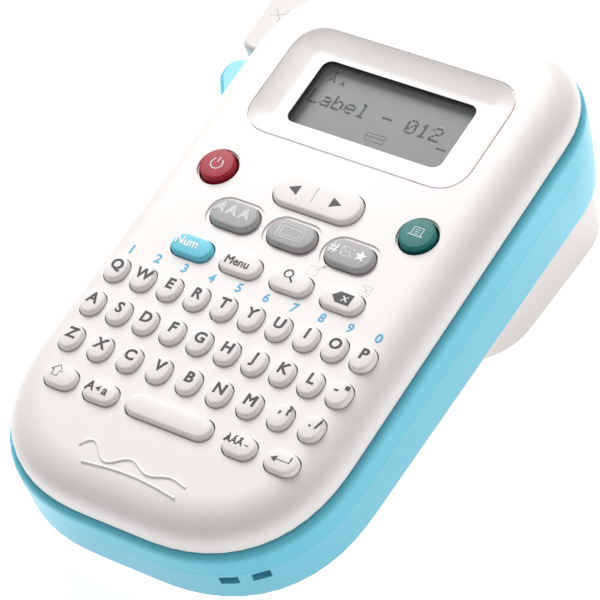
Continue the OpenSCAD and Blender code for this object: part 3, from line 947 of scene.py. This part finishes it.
def cap(name, key):
    """Rubber key: hidden lip, slightly tapered skirt and softly rounded, nearly flat top"""
    obj = key_plate(name, key, 0.8, 5.35, 9)
    size = (key[2] + 1.6, key[3] + 1.6)
    top = min(key[2], key[3]) / 2 - 1.6
    steps = [(0, 0.8), (0.8, 0.01), (0, 3.44), (0.12, 0.55)] + rounding(1.1, 1.08, 7, 2.15)
    steps += [(top * 0.3, 0.075), (top * 0.3, 0.045), (top * 0.25, 0.02)]
    return dome(obj, steps, key[:2], size)


def key_colour(name):
    """Finish of a key's cap"""
    if name == "num":
        return "cyan_key"
    return "grey_key" if name in MODE_KEYS else "white_key"


class LABELMAKER_OT_keys(bpy.types.Operator):
    """Every sliding key with flat ends"""
    bl_idname = "labelmaker.keys"
    bl_label = "Keys"

    def execute(self, context):
        models = {}
        for name, key in KEYS.items():
            shape = key[2:]
            if shape not in models:
                models[shape] = cap("key_model", (0, 0, *shape))
            use(models[shape])
            bpy.ops.object.duplicate(linked=False)
            obj = context.object
            obj.name = obj.data.name = "cap_" + name
            place(obj, key[0], key[1], 0)
            colour = key_colour(name)
            settle(obj, name + "_key", finish_of(colour), ["key_" + name], 60)
        for obj in models.values():
            bpy.data.objects.remove(obj)
        return {"FINISHED"}


class LABELMAKER_OT_round_keys(bpy.types.Operator):
    """Round power and print keys"""
    bl_idname = "labelmaker.round_keys"
    bl_label = "Round keys"

    def execute(self, context):
        for name, colour in (("power", "red_key"), ("print", "green_key")):
            x, y = ROUND_KEYS[name]
            obj = disc("cap_" + name, x, y, 5.35, ROUND_KEY_R + 0.8, 72)
            steps = [(0, 0.8), (0.8, 0.01), (0, 4.04)] + rounding(0.7, 1.0, 6, 2.2)
            steps += [(0.9, 0.1), (1.2, 0.06), (1.4, 0.03)]
            dome(obj, steps, (x, y), [2 * ROUND_KEY_R + 1.6] * 2)
            settle(obj, name + "_key", finish_of(colour), ["key_" + name], 60)
        return {"FINISHED"}


class LABELMAKER_OT_cursor_key(bpy.types.Operator):
    """Rocking cursor key"""
    bl_idname = "labelmaker.cursor_key"
    bl_label = "Cursor key"

    def execute(self, context):
        obj = key_plate("cap_cursor", CURSOR_KEY, 0, 5.7, 12)
        steps = [(0, 3.9), (0.12, 0.5)] + rounding(1.2, 1.12, 7, 2.15) + [(1.2, 0.1), (1.4, 0.05)]
        dome(obj, steps, CURSOR_KEY[:2], CURSOR_KEY[2:4])
        settle(obj, "cursor_key", finish_of("white_key"), ["key_cursor"], 60)
        return {"FINISHED"}


# ---------------------------------------------------------------- printed marks

def cross(size, thick):
    """Outline of an upright cross, turned to an X"""
    a, b = size, thick / 2
    points = [(a, b), (b, b), (b, a), (-b, a), (-b, b), (-a, b),
              (-a, -b), (-b, -b), (-b, -a), (b, -a), (b, -b), (a, -b)]
    turn = math.sqrt(0.5)
    return [((x - y) * turn, (x + y) * turn) for x, y in points]


def star(radius):
    """Outline of a five-pointed star"""
    return [(radius * (1, 0.42)[i % 2] * math.sin(math.pi * i / 5),
             radius * (1, 0.42)[i % 2] * math.cos(math.pi * i / 5)) for i in range(10)]


def shift_mark():
    return [stroke([(0, 2.2), (-2, 0.1), (-0.95, 0.1), (-0.95, -1.7), (0.95, -1.7),
                    (0.95, 0.1), (2, 0.1)], 0.36, True)]


def caps_mark():
    return [word("A", 4.3, -2.7, 0, 0.09), word("a", 4.3, 2.6, -0.1, 0.09),
            patch([(-0.9, 0), (0.7, 0.95), (0.7, -0.95)])]


def enter_mark():
    return [stroke([(2.9, 1.5), (2.9, -0.5), (-1.6, -0.5)], 0.42),
            patch([(-3.2, -0.5), (-1.4, 0.6), (-1.4, -1.6)])]


def preview_mark():
    return [stroke(arc(-0.6, 0.6, 1.35), 0.46, True), stroke([(0.4, -0.4), (1.9, -2.0)], 0.72)]


def erase_mark():
    outline = [(-3.5, 0), (-1.5, 1.9), (3.1, 1.9), (3.1, -1.9), (-1.5, -1.9)]
    return [patch(outline, [(x + 0.9, y) for x, y in cross(1.35, 0.5)])]


def font_mark():
    return [word("A", 5.0, -4.5, 0, 0.1, 0.28, 0.34), word("A", 5.0, 0, 0, 0.1, 0, 0.34),
            word("A", 5.0, 4.5, 0, 0.1, 0, 0.34)]


def frame_mark():
    return [stroke([(-4.3, -2.4), (4.3, -2.4), (4.3, 2.4), (-4.3, 2.4)], 0.34, True),
            stroke([(-3.2, -1.4), (3.2, -1.4), (3.2, 1.4), (-3.2, 1.4)], 0.3, True)]


def symbol_mark():
    return [word("#", 4.9, -4.6, 0, 0.08), patch([(x + 4.7, y) for x, y in star(2.2)]),
            stroke([(-2, -1.5), (2, -1.5), (2, 1.5), (-2, 1.5)], 0.3, True),
            stroke([(-2, 1.5), (0, -0.2), (2, 1.5)], 0.26),
            stroke([(-2, -1.5), (-0.6, 0.25)], 0.26), stroke([(2, -1.5), (0.6, 0.25)], 0.26)]


def power_mark():
    return [stroke(arc(0, 0, 1.95, 125, 415, 26), 0.42), stroke([(0, 0.5), (0, 2.5)], 0.42)]


def print_mark():
    page = stroke([(-1.6, -1.0), (-1.6, 1.9), (1.6, 1.9), (1.6, -1.0)], 0.36)
    lines = [stroke([(-0.85, y), (0.85, y)], 0.26) for y in (1.1, 0.4, -0.3)]
    return [page, *lines, stroke([(-2.5, -1.0), (2.5, -1.0)], 0.36)]


SIGNS = {
    "dash": lambda: [word('- "', 4.6, 0, 0, 0.12)],
    "comma": lambda: [word(", ?", 4.4, 0, 0, 0.12)],
    "period": lambda: [word(". /", 4.4, 0, 0, 0.12)],
    "shift": shift_mark, "caps": caps_mark, "enter": enter_mark,
    "accent": lambda: [word("\u00c0\u00c1\u00c2", 3.1, -0.9, 0, 0.07),
                       stroke([(2.9, -0.2), (4.3, -0.2)], 0.36)],
    "num": lambda: [word("Num", 4.0, 0, 0, 0.1)], "menu": lambda: [word("Menu", 3.8, 0, 0, 0.09)],
    "preview": preview_mark, "erase": erase_mark, "font": font_mark, "frame": frame_mark,
    "symbol": symbol_mark,
}
SIGN_PLACES = {
    "shift": (-39.3, -65.8), "caps": (-23.8, -66.4), "accent": (25.2, -66.2),
    "enter": (40.7, -66.3), "num": (-28.2, -11.7), "menu": (-9.5, -12.4),
    "preview": (8.2, -10.8), "erase": (27.4, -11.9), "font": (-21.5, 3.4), "frame": (-0.1, 2.9),
    "symbol": (19.9, 2.9), "dash": (44.5, -39.8), "comma": (33.0, -51.6), "period": (43.5, -52.4)}


class LABELMAKER_OT_key_marks(bpy.types.Operator):
    """Letters and signs on the keys"""
    bl_idname = "labelmaker.key_marks"
    bl_label = "Key marks"

    def execute(self, context):
        height = mm("legend_height")
        for name, key in KEYS.items():
            if name == "space":
                continue
            x, y = SIGN_PLACES.get(name, (key[0], key[1] + 1.0))
            if name in SIGNS:
                parts = SIGNS[name]()
            else:
                parts = [word(name.upper(), height, 0, 0, 0.15)]
            colour = "white_ink" if name in MODE_KEYS or name == "num" else "dark_ink"
            imprint("mark_" + name, parts, x, y, CAP_TOP, name + "_key",
                    key_colour(name), colour)
        for name, parts, colour in (("power", power_mark(), "red_key"),
                                    ("print", print_mark(), "green_key")):
            x, y = ROUND_KEYS[name]
            imprint("mark_" + name, parts, x, y, CAP_TOP, name + "_key", colour, "white_ink")
        arrows = [patch([(-9.9, 0), (-6.3, 1.8), (-6.3, -1.8)]),
                  patch([(9.1, -0.3), (5.5, 1.5), (5.5, -2.1)])]
        imprint("mark_arrows", arrows, 0, 17.2, CAP_TOP, "cursor_key", "white_key", "dark_ink")
        imprint("mark_divider", [stroke([(-1.4, 3.0), (-1.2, -2.6)], 0.3)], 0.6, 17.2, CAP_TOP,
                "cursor_key", "white_key", "pale_ink")
        return {"FINISHED"}


class LABELMAKER_OT_deck_marks(bpy.types.Operator):
    """Digits over the upper keys, small signs, the scissors mark and a raised flourish"""
    bl_idname = "labelmaker.deck_marks"
    bl_label = "Deck marks"

    def execute(self, context):
        digits = [word(str((i + 1) % 10), 4.3, (i - 4.5) * 9.8, 0, 0.12) for i in range(10)]
        imprint("mark_digits", digits, 0, -19.4, DECK, "case", "white_shell", "blue_ink", 0.1)
        box = [(-1.6, -1.6), (1.6, -1.6), (1.6, 1.6), (-1.6, 1.6)]
        copy_sign = [stroke(box, 0.2, True), stroke([(0.4, 0.4), (2.4, 2.4)], 0.2),
                     patch([(2.9, 2.9), (1.7, 2.6), (2.6, 1.7)])]
        imprint("mark_copy", copy_sign, 12.8, -5.8, DECK, "case", "white_shell", "pale_ink", 0.1)
        clear_sign = [stroke(box, 0.2, True), stroke([(-1, -1), (1, 1)], 0.2),
                      stroke([(-1, 1), (1, -1)], 0.2)]
        imprint("mark_clear", clear_sign, 31.6, -6.2, DECK, "case", "white_shell", "pale_ink", 0.1)
        scissors = [stroke([(-3.2, -1.6), (1.5, 1.0)], 0.32), stroke([(-2.6, 2.0), (0.9, -1.5)], 0.32),
                    stroke(arc(2.3, 1.5, 0.85), 0.3, True), stroke(arc(1.4, -2.2, 0.85), 0.3, True)]
        imprint("mark_scissors", scissors, -58.9, 82.3, -1.6, "case", "cover_shell", "pale_ink", 0.1)
        self.flourish()
        return {"FINISHED"}

    def flourish(self):
        wave = [(-19 + 38 * i / 60, 3.4 * math.exp(-i / 34) * math.sin(i / 60 * 5.2 * math.pi))
                for i in range(61)]
        sweep = [(-15 + 33 * i / 40, -4.6 + 1.5 * math.sin(math.pi * i / 40)) for i in range(41)]
        raised = join(stroke(wave, 0.95), stroke(sweep, 0.8))
        raised.name = raised.data.name = "flourish"
        place(raised, 0, -84.2, DECK + 0.06, 0, 0.75 / INK)
        settle(raised, "case", finish_of("white_shell"), angle=60)


# ---------------------------------------------------------------- display

GLYPHS = {
    "L": "10000 10000 10000 10000 10000 10000 11111", "a": "00000 00000 01110 00001 01111 10001 01111",
    "b": "10000 10000 10110 11001 10001 10001 11110", "e": "00000 00000 01110 10001 11111 10000 01110",
    "l": "01100 00100 00100 00100 00100 00100 01110", "-": "00000 00000 00000 11111 00000 00000 00000",
    "1": "00100 01100 00100 00100 00100 00100 01110", "2": "01110 10001 00001 00110 01000 10000 11111",
    "0": "01110 10001 10011 10101 11001 10001 01110", " ": "00000 00000 00000 00000 00000 00000 00000",
}


class LABELMAKER_OT_display(bpy.types.Operator):
    """Display panel, a black frame that paints shade on the walls of its recess, dot characters and
    small indicators
    """
    bl_idname = "labelmaker.display"
    bl_label = "Display"

    def execute(self, context):
        floor, top = 2.95, 5.85
        level = 4.3
        panel = block("lcd_panel", (LCD_X - 29.1, LCD_Y - 14.5, floor),
                      (LCD_X + 29.1, LCD_Y + 14.5, level))
        soften(panel, 0.15, 2)
        settle(panel, "case", finish_of("display"), ["display_panel"])
        # Painted shade: this black frame darkens the recess walls under the opening. It stands in for
        # the shadow along the top and left edges of the display.
        shade_frame = block("lcd_shade_frame", (LCD_X - 29.1, LCD_Y - 14.5, level),
                      (LCD_X + 29.1, LCD_Y + 14.5, top))
        opening = plate("cut", LCD_X - 28.0, LCD_Y - 12.9, LCD_X + 28.0, LCD_Y + 12.9, level - 1,
                        [3.0] * 4)
        carve(shade_frame, tower(opening, [(0, 4)]))
        soften(shade_frame, 0.1, 1)
        settle(shade_frame, "case", finish_of("painted_shade_black"))
        dots = self.dots("Label - 012", level)
        imprint("lcd_characters", [dots], -27.6, 52.1, level, "case", "lcd",
                "display_dots", 0.04)
        signs = [word("A", 4.4, -24.3, 62, 0.05), patch([(-25.3, 64.8), (-23.3, 64.8), (-24.3, 64.0)]),
                 word("A", 2.9, -20.4, 61.4, 0.04),
                 stroke([(-2.8, 45.2), (4, 45.2), (4, 48), (-2.8, 48)], 0.26, True),
                 stroke([(-2.8, 46.8), (4, 46.8)], 0.22), stroke([(20.4, 50), (23.8, 50)], 0.6)]
        imprint("lcd_signs", signs, 0, 0, level, "case", "lcd", "display_dots", 0.04)
        return {"FINISHED"}

    def dots(self, text, level, across=0.733, up=0.757):
        """Dot characters seven rows high; each dot is a square added in edit mode"""
        obj = None
        for number, letter in enumerate(text):
            for row, line in enumerate(GLYPHS[letter].split()):
                for column, lit in enumerate(line):
                    if lit == "0":
                        continue
                    where = ((number * 6 + column) * across, (6 - row) * up, 0)
                    if obj is None:
                        bpy.ops.object.select_all(action="DESELECT")
                        bpy.ops.mesh.primitive_plane_add(size=across * 0.94, location=where)
                        obj = bpy.context.object
                        bpy.ops.object.transform_apply(location=True)
                        bpy.ops.object.mode_set(mode="EDIT")
                    else:
                        bpy.ops.mesh.primitive_plane_add(size=across * 0.94, location=where)
        bpy.ops.mesh.select_all(action="SELECT")
        bpy.ops.mesh.extrude_region_move(TRANSFORM_OT_translate={"value": (0, 0, INK)})
        face_outwards()
        bpy.ops.object.mode_set(mode="OBJECT")
        return obj


# ---------------------------------------------------------------- stage

class LABELMAKER_OT_stage(bpy.types.Operator):
    """Pale floor, soft studio lights and the camera"""
    bl_idname = "labelmaker.stage"
    bl_label = "Stage"

    def execute(self, context):
        scene = context.scene
        bpy.ops.object.select_all(action="DESELECT")
        bpy.ops.mesh.primitive_plane_add(size=8, location=(0, 0, -0.0005))
        floor = context.object
        floor.name = floor.data.name = "floor"
        bpy.ops.object.transform_apply(location=True, rotation=True, scale=True)
        floor.data.materials.append(finish_of("floor"))
        world = bpy.data.worlds.new("soft_white")
        world.use_nodes = True
        backdrop = world.node_tree.nodes["Background"]
        backdrop.inputs["Color"].default_value = (*scene.label_maker_colours.backdrop, 1)
        backdrop.inputs["Strength"].default_value = 0.36
        scene.world = world
        self.lamp("key_light", (-0.9, 1.0, 1.2), 1.1, 33)
        self.lamp("side_light", (1.5, 0.5, 0.5), 1.0, 3.5)
        data = bpy.data.cameras.new("view")
        data.lens = 209.74
        data.sensor_width = 36
        data.clip_end = 20
        camera = bpy.data.objects.new("view", data)
        camera.location = (0.51876, -0.52821, 0.75591)
        camera.rotation_euler = [math.radians(a) for a in (44.2857, 10.4125, 33.8646)]
        scene.collection.objects.link(camera)
        scene.camera = camera
        scene.view_settings.view_transform = "Standard"
        return {"FINISHED"}

    def lamp(self, name, place, size, power):
        data = bpy.data.lights.new(name, "AREA")
        data.size = size
        data.energy = power
        lamp = bpy.data.objects.new(name, data)
        lamp.location = place
        lamp.rotation_euler = (-Vector(place)).to_track_quat("-Z", "Y").to_euler()
        bpy.context.scene.collection.objects.link(lamp)


class LABELMAKER_PT_panel(bpy.types.Panel):
    """Lists the label maker's operators and sizes"""
    bl_idname = "LABELMAKER_PT_panel"
    bl_label = "Label maker"
    bl_space_type = "VIEW_3D"
    bl_region_type = "UI"
    bl_category = "Label maker"

    def draw(self, context):
        for group in (context.scene.label_maker_sizes, context.scene.label_maker_colours):
            for key in group.__annotations__:
                self.layout.prop(group, key)
        for operator in OPERATORS:
            self.layout.operator(operator.bl_idname)


OPERATORS = (
    LABELMAKER_OT_top_cover, LABELMAKER_OT_frame_band, LABELMAKER_OT_lower_band,
    LABELMAKER_OT_rear_cover, LABELMAKER_OT_exit_guard, LABELMAKER_OT_cutter_lever,
    LABELMAKER_OT_inner_parts, LABELMAKER_OT_keys, LABELMAKER_OT_round_keys,
    LABELMAKER_OT_cursor_key, LABELMAKER_OT_key_marks, LABELMAKER_OT_deck_marks,
    LABELMAKER_OT_display, LABELMAKER_OT_stage)
GROUPS = (LABELMAKER_PG_sizes, LABELMAKER_PG_colours)


def register():
    for cls in (*GROUPS, *OPERATORS, LABELMAKER_PT_panel):
        bpy.utils.register_class(cls)
    bpy.types.Scene.label_maker_sizes = bpy.props.PointerProperty(type=LABELMAKER_PG_sizes)
    bpy.types.Scene.label_maker_colours = bpy.props.PointerProperty(type=LABELMAKER_PG_colours)


def unregister():
    del bpy.types.Scene.label_maker_colours
    del bpy.types.Scene.label_maker_sizes
    for cls in (LABELMAKER_PT_panel, *reversed(OPERATORS), *reversed(GROUPS)):
        bpy.utils.unregister_class(cls)


def main():
    register()
    for operator in OPERATORS:
        name = operator.bl_idname.split(".")[1]
        getattr(bpy.ops.labelmaker, name)()


if __name__ == "__main__":
    main()
